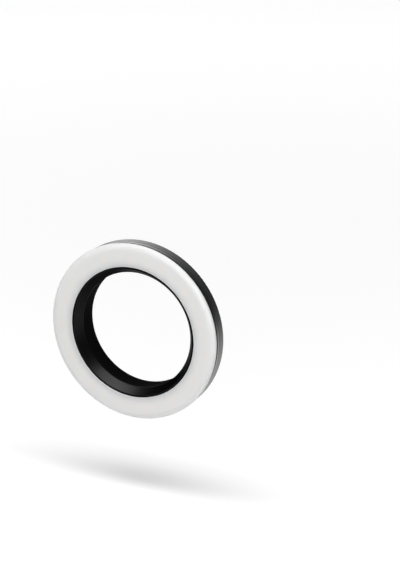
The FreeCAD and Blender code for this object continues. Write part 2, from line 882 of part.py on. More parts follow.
def make_board_screws():
    """Two small pan-headed screws for each board."""
    for label, clock, angle in (
        ("control_board_screws", "control_clock", "control_screw_angle"),
        ("charge_board_screws", "charge_clock", "charge_screw_angle"),
    ):
        body = new_body(label, f"{clock} + {angle}")
        head_sketch = face_sketch(body, "circuit_back")
        disc(head_sketch, "board_screw_ring", "0", "board_screw_head_radius")
        head = pad(body, head_sketch, "board_screw_head_thickness")
        shank_sketch = face_sketch(body, "deck_face + slip_fit")
        disc(shank_sketch, "board_screw_ring", "0", "board_screw_radius")
        shank = pad(body, shank_sketch, "circuit_back - deck_face - slip_fit")
        spread(body, [head, shank], "2", f"2 * {angle}")


def block_on_board(body, ring, size, height):
    """A square block on the back of a board, at the body's own clock angle."""
    sketch = face_sketch(body, "circuit_back")
    rectangle(
        sketch,
        (f"{ring} - {size} / 2", f"-1 * {size} / 2"),
        (f"{ring} + {size} / 2", f"{size} / 2"),
    )
    return pad(body, sketch, height)


def make_board_parts():
    """Driver chips on the control board, and the coils of the charging circuit."""
    chips = new_body("driver_chips", "control_clock + chip_pitch")
    chip = block_on_board(chips, "chip_ring", "chip_size", "chip_height")
    spread(chips, [chip], "chip_count", "chip_pitch")
    coils = new_body("charge_coils", "charge_clock + coil_angle")
    coil = block_on_board(coils, "coil_ring", "coil_size", "coil_height")
    spread(coils, [coil], "2", "2 * coil_angle")


def make_switches():
    """Low tact switches, one behind each button, with a well for the plunger."""
    body = new_body("tact_switches", "button_clock")
    sketch = face_sketch(body, "circuit_back")
    rectangle(
        sketch,
        ("button_ring - switch_width / 2", "-1 * switch_length / 2"),
        ("button_ring + switch_width / 2", "switch_length / 2"),
    )
    block = pad(body, sketch, "switch_height")
    well_sketch = face_sketch(body, "switch_back - plunger_depth - button_travel - hole_gap")
    disc(well_sketch, "button_ring", "0", "plunger_radius + running_fit")
    well = pocket(body, well_sketch, "plunger_depth + button_travel + hole_gap")
    spread(body, [block, well], str(len(BUTTONS)), "button_pitch")


def make_buttons():
    """Caps held behind the cover's floor, each on its switch's plunger."""
    for number, label in enumerate(BUTTONS):
        clock = f"button_clock - {number} * button_pitch"
        cap = new_body(label, clock)
        steps = (
            ("plunger_back", "button_stem_radius", "button_flange_face"),
            ("button_flange_face", "button_flange_radius", "button_flange_back"),
            ("button_flange_back", "button_radius", "button_back"),
        )
        for start, radius, end in steps:
            sketch = face_sketch(cap, start)
            disc(sketch, "button_ring", "0", radius)
            step = pad(cap, sketch, f"{end} - {start}")
        fillet(cap, step, "button_round", circle_at("button_radius", "button_back"))
        plunger = new_body(label.replace("button", "plunger"), clock)
        plunger_sketch = face_sketch(plunger, "switch_back - plunger_depth")
        disc(plunger_sketch, "button_ring", "0", "plunger_radius")
        pad(plunger, plunger_sketch, "plunger_depth + plunger_rise")


def make_lamps():
    """Charge lamps: a chip on the board and a clear pipe through the cover for each."""
    chips = new_body("lamp_chips", "lamp_clock")
    chip = block_on_board(chips, "button_ring", "lamp_chip_size", "lamp_chip_height")
    spread(chips, [chip], "lamp_count", "lamp_pitch")
    pipes = new_body("light_pipes", "lamp_clock")
    sketch = face_sketch(pipes, "lamp_face")
    disc(sketch, "button_ring", "0", "lamp_radius")
    pipe = pad(pipes, sketch, "back_depth - lamp_face")
    spread(pipes, [pipe], "lamp_count", "lamp_pitch")


def make_socket():
    """Charging socket: a metal shell on the board, and the tongue inside it."""
    shell = new_body("socket_shell", "charge_clock")
    outer = new_sketch(shell, "YZ_Plane", "socket_front - socket_length")
    obround(outer, "socket_middle", "0", "socket_width", "socket_height", upright=True)
    pad(shell, outer, "socket_length", forward=True)
    inner = new_sketch(shell, "YZ_Plane", "socket_front - socket_length + socket_back_wall")
    obround(
        inner,
        "socket_middle",
        "0",
        "socket_width - 2 * socket_wall",
        "socket_height - 2 * socket_wall",
        upright=True,
    )
    pocket(shell, inner, "socket_length - socket_back_wall", forward=True)
    tongue = new_body("socket_tongue", "charge_clock")
    sketch = new_sketch(tongue, "YZ_Plane", "socket_front - socket_length + socket_back_wall")
    rectangle(
        sketch,
        ("socket_middle - tongue_thickness / 2", "-1 * tongue_width / 2"),
        ("socket_middle + tongue_thickness / 2", "tongue_width / 2"),
    )
    pad(tongue, sketch, "tongue_length", forward=True)


# Assembly


def check_model():
    """Stops on a failed object, a cut that removed nothing, or a bad shape."""
    for item in doc.Objects:
        if "Invalid" in item.State or "Error" in item.State:
            raise RuntimeError(f"{item.Name} failed: {item.State}")
        if item.TypeId == "PartDesign::Pocket":
            removed = item.BaseFeature.Shape.Volume - item.Shape.Volume
            if removed < 1e-4:
                raise RuntimeError(f"{item.Name} cuts nothing")
    for item in parts:
        if item.Shape.isNull() or not item.Shape.isValid():
            raise RuntimeError(f"{item.Label} has no valid shape")


def write_steps():
    os.makedirs("parts", exist_ok=True)
    for item in parts:
        item.Shape.exportStep(f"parts/{item.Label}.step")
        print(item.Label, len(item.Shape.Solids), round(item.Shape.Volume, 2))


make_diffuser()
make_inner_cone()
make_reflector_tray()
make_leds("warm_leds", "led_clock")
make_leds("cool_leds", "led_clock + 180 / led_pairs")
make_led_board()
make_thermal_pad()
make_led_leads()
make_front_housing()
make_back_cover()
make_cover_screws()
make_mount_ring()
make_snap_ring()
make_glide_washer()
make_cells()
make_cell_flex()
make_board("control_board", "control_clock", "control_half_angle", "control_screw_angle")
make_board("charge_board", "charge_clock", "charge_half_angle", "charge_screw_angle")
make_board_screws()
make_board_parts()
make_switches()
make_buttons()
make_lamps()
make_socket()
doc.recompute()
check_model()
write_steps()
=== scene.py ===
import bmesh
import bpy
import json
import math
from mathutils import Matrix, Vector


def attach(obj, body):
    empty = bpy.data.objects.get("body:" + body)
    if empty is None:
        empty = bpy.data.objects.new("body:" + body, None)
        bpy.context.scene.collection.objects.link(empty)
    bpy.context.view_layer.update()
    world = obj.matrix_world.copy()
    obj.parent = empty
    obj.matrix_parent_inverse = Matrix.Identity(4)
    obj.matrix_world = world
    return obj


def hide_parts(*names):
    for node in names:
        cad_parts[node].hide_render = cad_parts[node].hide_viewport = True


# Looks of the ring video light. Its own sizes are in millimetres and degrees, and those of the
# camera, the lights and the floor in metres. Depths are measured back from the lit face to the
# light's back, and clock angles run round the lens's axis from +X to +Z.

MM = 0.001
SEAT = 12.8
COVER_BACK = 11.0

CHIP_RING = 41.3
CHIP_FACE = 3.0
CHIP_PITCH = 12
FIRST_WARM_CLOCK = 17

BORE = 32.2
FLUTE_PITCH = 9
THREAD_PITCH = 0.75

BUTTON_RING = 43.2
BUTTON_CLOCKS = {"power": 49.0, "brighter": 40.4, "dimmer": 31.8, "colour": 23.2}
BUTTON_TOP = 11.6
BUTTON_DISH = 11.45
BATTERY_CLOCK = 4.4
LAMP_COUNT = 4
LAMP_PITCH = 2.8
FIRST_LAMP_CLOCK = 16.4

SOCKET_CLOCK = 270
TONGUE_FACES = {"front": 7.88, "back": 8.58}
MARK_THICKNESS = 0.04
ARC_STEP = 0.12

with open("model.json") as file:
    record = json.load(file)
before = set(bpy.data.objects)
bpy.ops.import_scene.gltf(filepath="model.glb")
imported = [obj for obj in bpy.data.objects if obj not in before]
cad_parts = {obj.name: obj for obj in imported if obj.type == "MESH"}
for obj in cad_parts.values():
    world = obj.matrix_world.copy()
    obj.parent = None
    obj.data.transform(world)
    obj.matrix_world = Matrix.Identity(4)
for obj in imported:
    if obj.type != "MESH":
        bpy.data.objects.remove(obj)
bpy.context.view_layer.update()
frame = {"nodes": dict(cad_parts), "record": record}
bpy.ops.object.select_all(action="DESELECT")


# Shader values


class Value:
    """A shader value. Its operators add the maths nodes that work it out."""

    def __init__(self, nodes, socket):
        self.nodes = nodes
        self.socket = socket

    def __add__(self, other):
        return self.nodes.math("ADD", self, other)

    __radd__ = __add__

    def __sub__(self, other):
        return self.nodes.math("SUBTRACT", self, other)

    def __rsub__(self, other):
        return self.nodes.math("SUBTRACT", other, self)

    def __mul__(self, other):
        return self.nodes.math("MULTIPLY", self, other)

    def __truediv__(self, other):
        return self.nodes.math("DIVIDE", self, other)

    def __pow__(self, other):
        return self.nodes.math("POWER", self, other)


class Nodes:
    """The nodes of one material or world."""

    def __init__(self, tree):
        self.tree = tree

    def feed(self, socket, value):
        """Links a value to the socket, or sets a constant on it."""
        if isinstance(value, Value):
            self.tree.links.new(value.socket, socket)
        elif isinstance(value, tuple) and len(value) == 3 and socket.type == "RGBA":
            socket.default_value = (*value, 1)
        else:
            socket.default_value = value

    def add(self, kind, inputs=None, output=0, **settings):
        """Adds any node: its settings first, then the values or links of its sockets."""
        node = self.tree.nodes.new(kind)
        for setting, value in settings.items():
            setattr(node, setting, value)
        for socket, value in (inputs or {}).items():
            self.feed(node.inputs[socket], value)
        return Value(self, node.outputs[output])

    def math(self, operation, *values):
        return self.add("ShaderNodeMath", dict(enumerate(values)), operation=operation)


class Finish(Nodes):
    """One material: its Principled shader, and the nodes that feed it."""

    def __init__(self, name, **constants):
        self.material = bpy.data.materials.new(name)
        self.material.use_nodes = True
        super().__init__(self.material.node_tree)
        self.shader = self.tree.nodes["Principled BSDF"]
        self.set(**constants)
        self.place = self.add("ShaderNodeTexCoord", output="Object")
        axes = (self.add("ShaderNodeSeparateXYZ", {0: self.place}, output) for output in range(3))
        self.x, self.y, self.z = axes

    def radius(self):
        """Distance from the lens's axis, in millimetres."""
        return self.math("SQRT", self.x * self.x + self.z * self.z) * 1000

    def depth(self):
        """Depth behind the lit face, in millimetres."""
        return self.y * 1000 + SEAT

    def clock(self):
        """Angle round the lens's axis, in degrees."""
        return self.math("ARCTAN2", self.z, self.x) * (180 / math.pi)

    def off_chip(self, first, pitch):
        """How far round the nearest chip's middle is, from -0.5 to 0.5 of the pitch in degrees."""
        return self.math("FRACT", (self.clock() - first) / pitch + 10.5) - 0.5

    def noise(self, size, detail=3, stretch=(1, 1, 1)):
        """Noise from 0 to 1 whose lumps are about this many millimetres across."""
        scaled = self.add("ShaderNodeVectorMath", {0: self.place, 1: stretch}, operation="MULTIPLY")
        inputs = {"Vector": scaled, "Scale": 1000 / size, "Detail": detail}
        return self.add("ShaderNodeTexNoise", inputs)

    def band(self, value, low, high):
        """Rises smoothly from 0 to 1 as the value goes from low to high."""
        inputs = {"Value": value, "From Min": low, "From Max": high}
        return self.add("ShaderNodeMapRange", inputs, interpolation_type="SMOOTHSTEP")

    def mix(self, amount, first, second):
        """Mixes two colours, whose sockets are the node's inputs 6 and 7 and its output 2."""
        inputs = {0: amount, 6: first, 7: second}
        return self.add("ShaderNodeMix", inputs, output=2, data_type="RGBA", clamp_factor=True)

    def shades(self, amount, colour, dark, pale):
        """Goes from the colour times dark to the colour times pale, as the amount rises."""
        return self.mix(amount, *(tuple(min(1, c * level) for c in colour) for level in (dark, pale)))

    def grain(self, height, depth):
        """Bumps the surface by the height value, which stands for this depth in millimetres."""
        bump = self.add("ShaderNodeBump", {"Height": height, "Distance": depth * MM, "Strength": 1.0})
        self.feed(self.shader.inputs["Normal"], bump)

    def set(self, **values):
        """Feeds the shader's sockets by their names, and gives the material."""
        for socket, value in values.items():
            self.feed(self.shader.inputs[socket.replace("_", " ")], value)
        return self.material


def opal_acrylic():
    """Satin opal acrylic, with the two colours of chip faintly seen through it, painted shade towards the
    inner edge and a painted highlight towards the outer edge.
    """
    finish = Finish("opal acrylic", IOR=1.49, Subsurface_Weight=0.5, Subsurface_Scale=0.003)
    finish.shader.inputs["Subsurface Radius"].default_value = (1, 1, 1)
    radius = finish.radius()

    def chip_glow(pitch, reach):
        along = finish.off_chip(FIRST_WARM_CLOCK, pitch) * radius * math.radians(pitch)
        out = radius - CHIP_RING
        return finish.math("EXPONENT", (along * along + out * out) / (-reach * reach))

    warm = chip_glow(2 * CHIP_PITCH, 2.4)
    any_chip = chip_glow(CHIP_PITCH, 2.6)
    # Painted shade: the face is painted darker and bluish grey towards its inner edge, out to radius 41,
    # with a thin unshaded line left at the lip as a painted highlight.
    painted_inner_shade = (41 - radius) / 5.4 * finish.band(radius, 35.8, 36.2)
    # Painted highlight: the face is painted paler towards its crowned outer edge.
    rim = finish.band(radius, 45.4, 47.8)
    plain = finish.mix(finish.noise(9, 2), (0.80, 0.80, 0.797), (0.815, 0.815, 0.81))
    shaded = finish.mix(finish.math("MAXIMUM", painted_inner_shade, 0) ** 2, plain, (0.55, 0.555, 0.57))
    with_rim_highlight = finish.mix(rim * 0.5, shaded, (0.86, 0.86, 0.86))
    tinted = finish.mix(any_chip * 0.55, with_rim_highlight, (0.82, 0.805, 0.76))
    pinked = finish.mix(warm * 0.6, tinted, (0.84, 0.785, 0.765))
    finish.grain(finish.noise(0.12, 2), 0.0015)
    return finish.set(Base_Color=pinked, Roughness=0.36 + finish.noise(2.5) * 0.06)


def black_anodised():
    """Satin black anodised metal: fine blasted grain, with faint lathe lines."""
    finish = Finish("black anodised", IOR=1.5, Specular_IOR_Level=0.5)
    grain = finish.noise(0.16, 4)
    blotch = finish.noise(7, 3)
    lathe_lines = finish.math("SINE", (finish.radius() + finish.y * 900) * 42)
    shade = finish.shades(blotch, (0.007, 0.007, 0.0075), 0.85, 1.2)
    finish.grain(grain + lathe_lines * 0.06, 0.004)
    return finish.set(Base_Color=shade, Roughness=0.22 + grain * 0.1 + blotch * 0.05)


def velvet_black():
    """Black oxide that swallows light at a low angle, on finely blasted metal."""
    finish = Finish("velvet black", Metallic=1.0, Specular_Tint=(0.42, 0.42, 0.42))
    grain = finish.noise(0.3, 4)
    blotch = finish.noise(7, 3)
    shade = finish.mix(blotch, (0.016, 0.016, 0.0165), (0.021, 0.021, 0.0215))
    finish.grain(grain, 0.01)
    return finish.set(Base_Color=shade, Roughness=0.27 + grain * 0.22)


def baffled_black():
    """Black anodised mount whose bore is blackened and dead matte."""
    finish = Finish("baffled black", IOR=1.4, Specular_IOR_Level=0.12)
    bore = 1 - finish.band(finish.radius(), 32.6, 32.9)
    grain = finish.noise(0.16, 4)
    shade = finish.mix(bore, (0.011, 0.011, 0.012), (0.002, 0.002, 0.0022))
    finish.grain(grain, 0.004)
    return finish.set(Base_Color=shade, Roughness=0.34 + grain * 0.1 + bore * 0.5)


def moulded(name, colour, roughness, size, depth):
    """Moulded plastic with a spark-eroded texture of this size and depth."""
    finish = Finish(name, IOR=1.46)
    texture = finish.noise(size, 4)
    shade = finish.shades(finish.noise(11, 2), colour, 0.9, 1.12)
    finish.grain(texture, depth)
    return finish.set(Base_Color=shade, Roughness=roughness + texture * 0.1)


def metal(name, colour, roughness):
    """Bare metal with fine lines drawn in it."""
    finish = Finish(name, Metallic=1.0)
    drawn = finish.noise(0.3, 3, (1, 14, 1))
    shade = finish.shades(drawn, colour, 0.86, 1)
    finish.grain(drawn, 0.002)
    return finish.set(Base_Color=shade, Roughness=roughness + drawn * 0.12)


def phosphor_chip(name, phosphor, first):
    """White emitter package with a round pool of phosphor in its middle."""
    finish = Finish(name, IOR=1.5)
    along = finish.off_chip(first, 2 * CHIP_PITCH) * CHIP_RING * math.radians(2 * CHIP_PITCH)
    out = finish.radius() - CHIP_RING
    from_middle = finish.math("SQRT", along * along + out * out)
    lit_side = 1 - finish.band(finish.depth(), CHIP_FACE + 0.05, CHIP_FACE + 0.1)
    pool = (1 - finish.band(from_middle, 1.0, 1.1)) * lit_side
    shade = finish.mix(pool, (0.85, 0.85, 0.83), phosphor)
    finish.grain(finish.noise(0.15) * pool, 0.01)
    return finish.set(Base_Color=shade, Roughness=0.5 - pool * 0.2)


def circuit_board(name, mask, copper):
    """Solder mask over copper tracks that show as slightly raised lighter runs."""
    finish = Finish(name, IOR=1.5)
    bricks = {
        "Vector": finish.place,
        "Scale": 260,
        "Mortar Size": 0.045,
        "Mortar Smooth": 0.1,
        "Row Height": 0.35,
    }
    tracks = finish.add("ShaderNodeTexBrick", bricks, output="Fac")
    shade = finish.mix(tracks, mask, copper)
    speck = finish.noise(0.4)
    finish.grain(tracks, 0.02)
    return finish.set(Base_Color=finish.mix(speck * 0.25, shade, mask), Roughness=0.35 + speck * 0.1)


def soft_sheet(name, colour, pore):
    """Foam or gap pad with open pores."""
    finish = Finish(name, IOR=1.4)
    inputs = {"Vector": finish.place, "Scale": 1000 / pore}
    pores = finish.add("ShaderNodeTexVoronoi", inputs, output="Distance")
    shade = finish.shades(pores, colour, 0.6, 1.3)
    finish.grain(pores, 0.05)
    return finish.set(Base_Color=shade, Roughness=0.85 + pores * 0.1)


def foil_pouch():
    """Crinkled aluminium laminate round a cell."""
    finish = Finish("pouch foil", Metallic=0.85)
    crinkle = finish.noise(2.2, 4)
    shade = finish.mix(crinkle, (0.62, 0.63, 0.65), (0.8, 0.81, 0.82))
    finish.grain(crinkle, 0.08)
    return finish.set(Base_Color=shade, Roughness=0.28 + crinkle * 0.15)


def amber_flex():
    """Amber film with copper tracks that run round it."""
    finish = Finish("amber film", IOR=1.6)
    track = finish.band(finish.math("SINE", finish.radius() * 16), 0.1, 0.3)
    shade = finish.mix(track, (0.55, 0.2, 0.03), (0.72, 0.36, 0.1))
    finish.grain(track, 0.01)
    return finish.set(Base_Color=shade, Roughness=0.3 + finish.noise(0.8) * 0.1)


def clear_acrylic():
    """Slightly hazy clear plastic of the light pipes."""
    finish = Finish("clear acrylic", IOR=1.49, Transmission_Weight=0.85)
    haze = finish.noise(0.5)
    shade = finish.mix(haze, (0.86, 0.9, 0.92), (0.93, 0.95, 0.95))
    finish.grain(haze, 0.002)
    return finish.set(Base_Color=shade, Roughness=0.12 + haze * 0.1)


def waxy_washer():
    """Milky slippery plastic of the washer that the mount turns on."""
    finish = Finish("waxy washer", IOR=1.4)
    haze = finish.noise(1.2)
    shade = finish.mix(haze, (0.8, 0.8, 0.76), (0.88, 0.88, 0.85))
    finish.grain(finish.noise(0.2), 0.005)
    return finish.set(Base_Color=shade, Roughness=0.4 + haze * 0.15)


def printed_mark():
    """Pale pad-printed ink."""
    finish = Finish("pale ink", IOR=1.45)
    grain = finish.noise(0.12)
    shade = finish.mix(grain, (0.66, 0.66, 0.66), (0.74, 0.74, 0.74))
    finish.grain(grain, 0.004)
    return finish.set(Base_Color=shade, Roughness=0.55 + grain * 0.1)


# Modelling


def finish_piece(piece, material, body, smooth=38):
    """Merges doubles, points faces out, smooths, and hangs the piece on its body."""
    bpy.ops.object.mode_set(mode="EDIT")
    bpy.ops.mesh.select_all(action="SELECT")
    bpy.ops.mesh.remove_doubles(threshold=1e-7)
    bpy.ops.mesh.normals_make_consistent(inside=False)
    bpy.ops.object.mode_set(mode="OBJECT")
    bpy.ops.object.shade_smooth_by_angle(angle=math.radians(smooth))
    piece.modifiers.new("even", "WEIGHTED_NORMAL").keep_sharp = True
    bpy.ops.object.modifier_apply(modifier="even")
    piece.data.materials.clear()
    piece.data.materials.append(material)
    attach(piece, body)
    bpy.ops.object.select_all(action="DESELECT")
    return piece


def select(piece, wanted):
    """In edit mode, selects only the vertices whose place, in millimetres, passes the test."""
    bpy.ops.mesh.select_mode(type="VERT")
    bpy.ops.mesh.select_all(action="DESELECT")
    mesh = bmesh.from_edit_mesh(piece.data)
    for vertex in mesh.verts:
        vertex.select = wanted(vertex.co / MM)
    mesh.select_flush_mode()
    bmesh.update_edit_mesh(piece.data)


def rounded(corners):
    """The outline's points, with an arc in place of each corner that has a radius."""
    points = []
    count = len(corners)
    for index, (radius, depth, *fillet) in enumerate(corners):
        here = Vector((radius, depth))
        if not fillet:
            points.append(here)
            continue
        before = (Vector(corners[index - 1][:2]) - here).normalized()
        after = (Vector(corners[(index + 1) % count][:2]) - here).normalized()
        half = before.angle(after) / 2
        middle = here + (before + after).normalized() * (fillet[0] / math.sin(half))
        start = here + before * (fillet[0] / math.tan(half)) - middle
        sweep = start.angle_signed(here + after * (fillet[0] / math.tan(half)) - middle)
        steps = max(3, round(abs(sweep) * fillet[0] / ARC_STEP))
        points += [middle + Matrix.Rotation(-sweep * n / steps, 2) @ start for n in range(steps + 1)]
    return points


def turned(name, corners, steps=256, solid=False):
    """Turns an outline of radii and depths about the lens's axis, extruding it ring by ring.

    A solid's outline starts and ends on the axis, and its ends are closed there."""
    points = rounded(corners)
    rings = points if solid else points + points[:1]
    radius, depth = rings[0]
    bpy.ops.mesh.primitive_circle_add(
        vertices=steps,
        radius=radius * MM,
        fill_type="NOTHING",
        location=(0, (depth - SEAT) * MM, 0),
        rotation=(math.radians(90), 0, 0),
    )
    piece = bpy.context.object
    piece.name = piece.data.name = name
    bpy.ops.object.transform_apply()
    bpy.ops.object.mode_set(mode="EDIT")
    bpy.ops.mesh.select_all(action="SELECT")
    for next_radius, next_depth in rings[1:]:
        step = (0, (next_depth - depth) * MM, 0)
        bpy.ops.mesh.extrude_edges_move(TRANSFORM_OT_translate={"value": step})
        ratio = next_radius / radius
        middle = (0, (next_depth - SEAT) * MM, 0)
        bpy.ops.transform.resize(value=(ratio, 1, ratio), center_override=middle)
        radius, depth = next_radius, next_depth
    if solid:
        for end_radius, end_depth in (points[0], points[-1]):
            close_end(piece, Vector((0, end_depth - SEAT, 0)), end_radius)
    bpy.ops.object.mode_set(mode="OBJECT")
    return piece


def close_end(piece, middle, radius):
    """Merges the small ring of this radius round a solid's end into one vertex."""
    select(piece, lambda at: (at - middle).length < radius + 1e-3)
    bpy.ops.mesh.merge(type="CENTER")


def copy_to(piece, name, x, z):
    """A copy of the piece with its own mesh, moved out from the lens's axis."""
    bpy.ops.object.select_all(action="DESELECT")
    piece.select_set(True)
    bpy.context.view_layer.objects.active = piece
    bpy.ops.object.duplicate()
    copy = bpy.context.object
    copy.name = copy.data.name = name
    copy.location = (x * MM, 0, z * MM)
    bpy.ops.object.transform_apply()
    return copy


def joined(pieces, name):
    """One piece of several that touch or belong together."""
    bpy.ops.object.select_all(action="DESELECT")
    for piece in pieces:
        piece.select_set(True)
    bpy.context.view_layer.objects.active = pieces[0]
    bpy.ops.object.join()
    pieces[0].name = pieces[0].data.name = name
    return pieces[0]


def on_ring(radius, clock):
    """X and Z, in millimetres, of a place on a ring round the lens's axis."""
    return radius * math.cos(math.radians(clock)), radius * math.sin(math.radians(clock))


# Face and cone


def make_face(material):
    """Opal cap: flat face, broad crowned outer edge, fine inner edge, and the rib in the housing."""
    flat_edge, crown_width, crown_depth = 44.5, 3.5, 1.9
    crown = []
    for turn in range(0, 91, 6):
        out = crown_width * math.sin(math.radians(turn))
        back = crown_depth - crown_depth * math.cos(math.radians(turn))
        crown.append((flat_edge + out, back))
    piece = turned(
        "opal_face",
        [
            (35.75, 0.0, 0.12),
            *crown,
            (48.0, 2.0, 0.04),
            (46.25, 2.0),
            (46.25, 3.1, 0.15),
            (45.15, 3.1, 0.15),
            (45.15, 1.5, 0.1),
            (35.75, 1.5, 0.1),
        ],
    )
    finish_piece(piece, material, "light_head")
    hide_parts("diffuser")


def make_cone(material):
    """Black cone inside the face: a fine groove beside the face, then the slope down to its lip."""
    piece = turned(
        "light_cone",
        [
            (34.65, 0.2, 0.08),
            (34.9, 0.2, 0.06),
            (34.9, 1.0),
            (35.5, 1.0),
            (35.5, 0.2, 0.04),
            (35.65, 0.2, 0.04),
            (35.65, 1.4, 0.05),
            (35.5, 1.4),
            (35.5, 5.15, 0.1),
            (31.6, 5.15, 0.06),
            (31.6, 4.75, 0.08),
        ],
    )
    finish_piece(piece, material, "light_head")
    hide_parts("inner_cone")


# Lens mount


def fluted_radius(radius, turn):
    """How far out a point of the flange's rim may lie at this angle from a flute's middle."""
    cutter_ring, cutter = 38.05, 0.9
    across = cutter_ring * math.sin(math.radians(turn))
    if abs(across) > cutter:
        return radius
    return min(radius, cutter_ring * math.cos(math.radians(turn)) - math.sqrt(cutter**2 - across**2))


def rim_test(radius, turn):
    """A test for rim vertices of this radius at this angle from the middle of any flute."""

    def test(at):
        clock = math.degrees(math.atan2(at.z, at.x))
        off = abs((clock + FLUTE_PITCH / 2) % FLUTE_PITCH - FLUTE_PITCH / 2)
        return abs(off - turn) < 0.1 and abs(math.hypot(at.x, at.z) - radius) < 0.02

    return test


def make_mount(material):
    """Mount ring: baffled bore, fluted flange, and a screw thread for the lens."""
    groove_depth, groove_pitch = 0.3, 0.75
    baffles = []
    depth = 6.4
    while depth < 15.4:
        baffles += [(BORE, depth), (BORE + groove_depth, depth + 0.08), (BORE, depth + 0.6)]
        depth += groove_pitch
    body = turned(
        "mount_body",
        [
            (BORE, 5.8, 0.1),
            *baffles,
            (BORE, 16.0, 0.1),
            (32.9, 16.0, 0.1),
            (33.05, 15.7),
            (33.05, 12.9),
            (33.35, SEAT),
            (37.3, SEAT),
            (37.6, 12.5),
            (37.6, 11.4),
            (37.3, 11.1),
            (34.4, 11.1),
            (34.4, 8.2),
            (33.95, 8.2),
            (33.95, 7.4),
            (34.4, 7.4),
            (34.4, 5.8, 0.1),
        ],
        steps=720,
    )
    bpy.ops.object.mode_set(mode="EDIT")
    for radius in (37.3, 37.6):
        for turn in (0, 0.5, 1):
            ratio = fluted_radius(radius, turn) / radius
            if ratio < 1:
                select(body, rim_test(radius, turn))
                bpy.ops.transform.resize(value=(ratio, 1, ratio), center_override=(0, 0, 0))
    bpy.ops.object.mode_set(mode="OBJECT")
    piece = joined([body, make_thread()], "threaded_mount")
    finish_piece(piece, material, "lens_mount", smooth=32)
    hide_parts("mount_ring")


def make_thread():
    """Screw thread: one ridge wound round the mount's spigot."""
    middle, height, start = 33.27, 0.46, 0.25
    centre = (middle * MM, start * MM, 0)
    bpy.ops.mesh.primitive_plane_add(size=height * MM, location=centre)
    ridge = bpy.context.object
    bpy.ops.object.transform_apply()
    bpy.ops.object.mode_set(mode="EDIT")
    bpy.ops.mesh.delete(type="ONLY_FACE")
    select(ridge, lambda at: at.x < middle)
    bpy.ops.transform.resize(value=(1, 1.35, 1), center_override=centre)
    select(ridge, lambda at: at.x > middle)
    bpy.ops.transform.resize(value=(1, 0.25, 1), center_override=centre)
    bpy.ops.object.mode_set(mode="OBJECT")
    screw = ridge.modifiers.new("wind", "SCREW")
    screw.axis = "Y"
    screw.angle = math.radians(360)
    screw.steps = screw.render_steps = 160
    screw.iterations = 3
    screw.screw_offset = THREAD_PITCH * MM
    bpy.ops.object.modifier_apply(modifier="wind")
    bpy.ops.object.mode_set(mode="EDIT")
    bpy.ops.mesh.select_mode(type="EDGE")
    bpy.ops.mesh.select_all(action="DESELECT")
    bpy.ops.mesh.select_non_manifold()
    bpy.ops.mesh.fill_holes(sides=4)
    bpy.ops.object.mode_set(mode="OBJECT")
    return ridge


# Controls on the back


def make_strip(inner, outer, start, sweep):
    """Flat strip of a ring, swept from its start angle."""
    middle = (inner + outer) / 2
    bpy.ops.mesh.primitive_plane_add(size=(outer - inner) * MM, location=(middle * MM, 0, 0))
    strip = bpy.context.object
    bpy.ops.object.transform_apply()
    bpy.ops.object.mode_set(mode="EDIT")
    select(strip, lambda at: at.y > 0)
    bpy.ops.mesh.delete(type="VERT")
    bpy.ops.mesh.select_all(action="SELECT")
    bpy.ops.transform.translate(value=(0, (outer - inner) / 2 * MM, 0))
    steps = max(6, round(sweep / 10))
    bpy.ops.mesh.spin(steps=steps, angle=math.radians(sweep), center=(0, 0, 0), axis=(0, 0, 1))
    bpy.ops.object.mode_set(mode="OBJECT")
    strip.rotation_euler = (0, 0, math.radians(start))
    bpy.ops.object.transform_apply()
    return strip


def make_bar(length, width, centre=(0, 0), turn=0):
    """Flat bar with round ends."""
    bpy.ops.mesh.primitive_plane_add(size=1 * MM)
    bar = bpy.context.object
    bar.scale = (length, width, 1)
    bpy.ops.object.transform_apply()
    bpy.ops.object.mode_set(mode="EDIT")
    bpy.ops.mesh.select_all(action="SELECT")
    bpy.ops.mesh.bevel(affect="VERTICES", offset=width * 0.45 * MM, segments=4)
    bpy.ops.object.mode_set(mode="OBJECT")
    bar.rotation_euler = (0, 0, math.radians(turn))
    bar.location = (centre[0] * MM, centre[1] * MM, 0)
    bpy.ops.object.transform_apply()
    return bar


def make_plus(length, width):
    """Flat cross with round ends."""
    bpy.ops.mesh.primitive_grid_add(x_subdivisions=3, y_subdivisions=3, size=length * MM)
    cross = bpy.context.object
    bpy.ops.object.mode_set(mode="EDIT")
    squeeze = 3 * width / length
    inner = length / 4
    select(cross, lambda at: abs(at.x) < inner)
    bpy.ops.transform.resize(value=(squeeze, 1, 1), center_override=(0, 0, 0))
    select(cross, lambda at: abs(at.y) < inner)
    bpy.ops.transform.resize(value=(1, squeeze, 1), center_override=(0, 0, 0))
    select(cross, lambda at: abs(at.x) > inner and abs(at.y) > inner)
    bpy.ops.mesh.delete(type="VERT")
    select(cross, lambda at: at.length > inner)
    bpy.ops.mesh.bevel(affect="VERTICES", offset=width * 0.45 * MM, segments=4)
    bpy.ops.object.mode_set(mode="OBJECT")
    return cross


def make_frame(length, height, line):
    """Flat rectangular outline."""
    bpy.ops.mesh.primitive_plane_add(size=1 * MM)
    outline = bpy.context.object
    outline.scale = (length, height, 1)
    bpy.ops.object.transform_apply()
    bpy.ops.object.mode_set(mode="EDIT")
    bpy.ops.mesh.select_mode(type="FACE")
    bpy.ops.mesh.select_all(action="SELECT")
    bpy.ops.mesh.inset(thickness=line * MM)
    bpy.ops.mesh.delete(type="FACE")
    bpy.ops.object.mode_set(mode="OBJECT")
    return outline


def set_flat(name, strokes, clock, depth, material, body):
    """Thickens flat strokes and stands them upright on the buttons' ring, facing back."""
    mark = joined(strokes, name)
    thicken = mark.modifiers.new("thicken", "SOLIDIFY")
    thicken.thickness = MARK_THICKNESS * MM
    thicken.offset = 0
    bpy.ops.object.modifier_apply(modifier="thicken")
    x, z = on_ring(BUTTON_RING, clock)
    mark.location = (x * MM, (depth - SEAT) * MM, z * MM)
    mark.rotation_euler = (math.radians(90), 0, math.radians(180))
    bpy.ops.object.transform_apply()
    finish_piece(mark, material, body)


